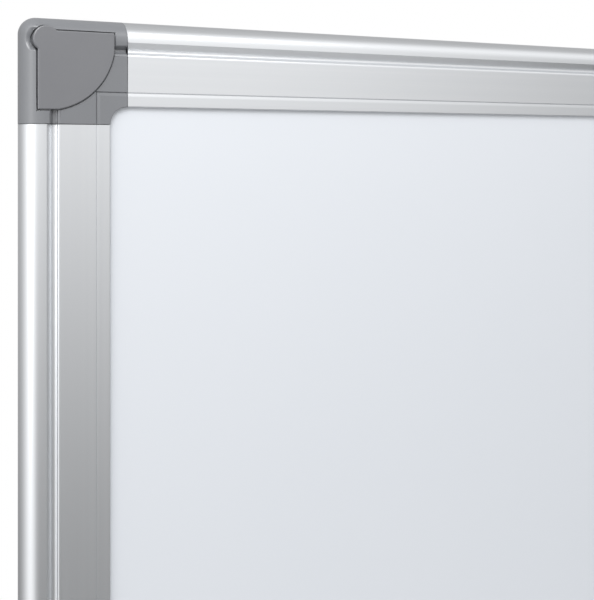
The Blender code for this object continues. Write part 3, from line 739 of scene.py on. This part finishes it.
def pale_floor():
    """A dull floor, pale to the camera, that fades out from 0.45 to 0.85 m away and hides nothing
    from below."""
    material, shader, add, spots = finish("pale_floor")
    speck = noise(add, spots, 300.0, 4.0)
    pale = shades(add, speck, [(0.3, (0.88, 0.88, 0.88)), (0.7, (0.92, 0.92, 0.92))])
    dull = shades(add, speck, [(0.3, (0.61, 0.61, 0.61)), (0.7, (0.65, 0.65, 0.65))])
    seen = add("LightPath", {}).outputs["Is Camera Ray"]
    tint = add("MixRGB", {"Fac": seen, "Color1": dull, "Color2": pale}).outputs[0]
    fill(shader, {"Base Color": tint, "Roughness": 0.9})
    away = add("VectorMath", {0: spots}, operation="LENGTH").outputs["Value"]
    fade = add("MapRange", {0: away, 1: 0.45, 2: 0.85}, **SMOOTH).outputs[0]
    below = add("NewGeometry", {}).outputs["Backfacing"]
    gone = add("Math", {0: fade, 1: below}, operation="MAXIMUM").outputs[0]
    clear = add("BsdfTransparent", {}).outputs[0]
    mixed = add("MixShader", {0: gone, 1: shader.outputs[0], 2: clear}).outputs[0]
    fill(material.node_tree.nodes["Material Output"], {"Surface": mixed})
    return material


corner_count, floor_radius, floor_level = 96, 0.9, -0.36
t = np.linspace(0, 2 * np.pi, corner_count, endpoint=False)
ring = [floor_radius * np.cos(t), floor_radius * np.sin(t), np.full_like(t, floor_level)]
floor_mesh = bpy.data.meshes.new("floor")
floor_mesh.from_pydata(np.stack(ring, axis=1).tolist(), [], [list(range(corner_count))])
floor_mesh.materials.append(pale_floor())
floor = bpy.data.objects.new("floor", floor_mesh)
bpy.context.collection.objects.link(floor)

world = bpy.data.worlds.new("studio")
bpy.context.scene.world = world
world.use_nodes = True
studio = adder(world.node_tree)


def number(operation, *values):
    """One sum on numbers or sockets."""
    return studio("Math", dict(enumerate(values)), operation=operation).outputs[0]


def by_angle(angle, first, last, stops):
    """Three numbers that change with an angle in degrees, through (angle, three numbers) stops."""
    ramp = studio("ValToRGB", {"Fac": studio("MapRange", {0: angle, 1: first, 2: last}).outputs[0]})
    places = [((here - first) / (last - first), values) for here, values in stops]
    through(ramp.color_ramp, places)
    return studio("SeparateColor", {"Color": ramp.outputs["Color"]}).outputs


def smooth(angle, first, last, top=1.0):
    """A number that rises smoothly from 0 to top as the angle goes from first to last."""
    return studio("MapRange", {0: angle, 1: first, 2: last, 4: top}, **SMOOTH).outputs[0]


# Going up: the light in front, the light at the sides and behind, and the tall light on the left.
UP = [
    (-60, (0.45, 0.45, 0.8)), (-40, (0.13, 0.20, 0.8)), (-22, (0.27, 0.29, 0.93)),
    (-18, (0.34, 0.33, 0.95)), (-14, (0.42, 0.38, 0.95)), (-10, (0.53, 0.42, 0.9)),
    (-6, (0.64, 0.46, 0.85)), (-3, (0.72, 0.48, 0.8)), (-1, (0.80, 0.49, 0.75)),
    (1, (0.95, 0.49, 0.7)), (2.5, (1.07, 0.49, 0.7)), (5, (1.12, 0.49, 0.7)), (8, (1.10, 0.49, 0.7)),
    (15, (1.02, 0.49, 0.7)), (30, (1.07, 0.50, 0.7)), (45, (1.12, 0.51, 0.6)),
    (50, (1.06, 0.52, 0.5)), (56, (0.96, 0.55, 0.35)), (62, (0.80, 0.57, 0.2)),
    (69, (0.59, 0.56, 0.05)), (90, (0.48, 0.50, 0.0)),
]
# Going round from the back past the left: the front's share of its full light, the share of the
# sides' light in the room's, and the tall light.
ROUND = [
    (-180, (1.0, 1.0, 0.0)), (-150, (1.0, 1.0, 0.0)), (-136, (1.0, 0.98, 0.03)),
    (-126, (1.0, 0.92, 0.08)), (-116, (1.0, 0.84, 0.2)), (-106, (1.0, 0.66, 0.32)),
    (-96, (1.0, 0.45, 0.47)), (-86, (1.0, 0.25, 0.64)), (-80, (1.0, 0.1, 0.82)),
    (-68, (1.0, 0.0, 0.87)), (-60, (1.0, 0.0, 0.80)), (-54, (1.0, 0.0, 0.70)),
    (-47, (1.0, 0.0, 0.54)), (-41, (1.0, 0.0, 0.30)), (-35, (1.0, 0.0, 0.12)),
    (-29, (1.0, 0.0, 0.03)), (-24, (1.0, 0.0, 0.0)), (17, (0.96, 0.0, 0.0)), (20, (1.11, 0.0, 0.0)),
    (23, (1.09, 0.0, 0.0)), (28, (1.03, 0.0, 0.0)), (33, (0.92, 0.0, 0.0)), (38, (0.745, 0.0, 0.0)),
    (42, (0.6, 0.0, 0.0)), (47, (0.51, 0.0, 0.0)), (60, (0.5, 0.0, 0.0)), (75, (0.7, 0.4, 0.0)),
    (85, (0.8, 1.0, 0.0)),
]
# Azimuth runs from the front, with the left below nought, and height up from level.
heading = studio("SeparateXYZ", {0: studio("TexCoord", {}).outputs["Generated"]}).outputs
ahead = number("MULTIPLY", heading[1], -1.0)
azimuth = number("MULTIPLY", number("ARCTAN2", heading[0], ahead), 180 / math.pi)
height = number("MULTIPLY", number("ARCSINE", heading[2]), 180 / math.pi)
up, around = by_angle(height, -60.0, 90.0, UP), by_angle(azimuth, -180.0, 180.0, ROUND)
# The front falls off sideways less and less above 18 degrees, and not at all above 34.
spread = studio("MapRange", {0: height, 1: 18.0, 2: 34.0, 3: around[0], 4: 1.0}).outputs[0]
front = number("MULTIPLY", up[0], spread)
room = studio("MapRange", {0: around[1], 3: front, 4: up[1]}).outputs[0]
# The tall light has a bright core, 22 degrees wide, above the level of the eye.
beside_core = number("ABSOLUTE", number("ADD", azimuth, 64.0))
core_span = number("MULTIPLY", smooth(height, -13.0, -2.0), smooth(height, 55.0, 35.0))
core = number("MULTIPLY", smooth(beside_core, 11.0, 3.0, top=1.38), core_span)
tall = number("ADD", number("MULTIPLY", up[2], around[2]), core)
path = studio("LightPath", {}).outputs
seen = number("MAXIMUM", path["Is Camera Ray"], path["Is Transmission Ray"])
lit = number("ADD", room, tall)
sky = studio("MixRGB", {"Fac": seen, "Color1": lit, "Color2": (1.0, 1.0, 1.0, 1.0)}).outputs[0]
fill(world.node_tree.nodes["Background"], {"Color": sky, "Strength": 1.0})

# The lamps stand round this spot near the top left corner: turned from the front, raised, away.
LIT_SPOT = Vector((-0.40, 0.0, 0.29))
for name, turn, rise, away, size, power in (
    ("key", -27, 43, 0.72, 0.4, 3.6),
    ("glint", 30, 44, 0.9, 0.2, 0.3),
):
    turn, rise = math.radians(turn), math.radians(rise)
    out = math.cos(rise)
    towards = Vector((math.sin(turn) * out, -math.cos(turn) * out, math.sin(rise)))
    lamp_data = bpy.data.lights.new(name, "AREA")
    lamp_data.size, lamp_data.energy = size, power
    lamp = bpy.data.objects.new(name, lamp_data)
    lamp.location = LIT_SPOT + towards * away
    lamp.rotation_euler = (-towards).to_track_quat("-Z", "Y").to_euler()
    bpy.context.collection.objects.link(lamp)

# The camera stands level, 0.47 m before the wall, out to the left of the corner and below it, and
# looks 27.5 degrees to the right. The shift keeps the uprights parallel.
camera_data = bpy.data.cameras.new("camera")
camera_data.lens = 69.2
camera_data.shift_y = -0.241
camera = bpy.data.objects.new("camera", camera_data)
camera.location = (-0.565, -0.474, 0.244)
camera.rotation_euler = (math.radians(90), 0, math.radians(-27.5))
bpy.context.collection.objects.link(camera)
bpy.context.scene.camera = camera
bpy.context.scene.view_settings.view_transform = "Standard"
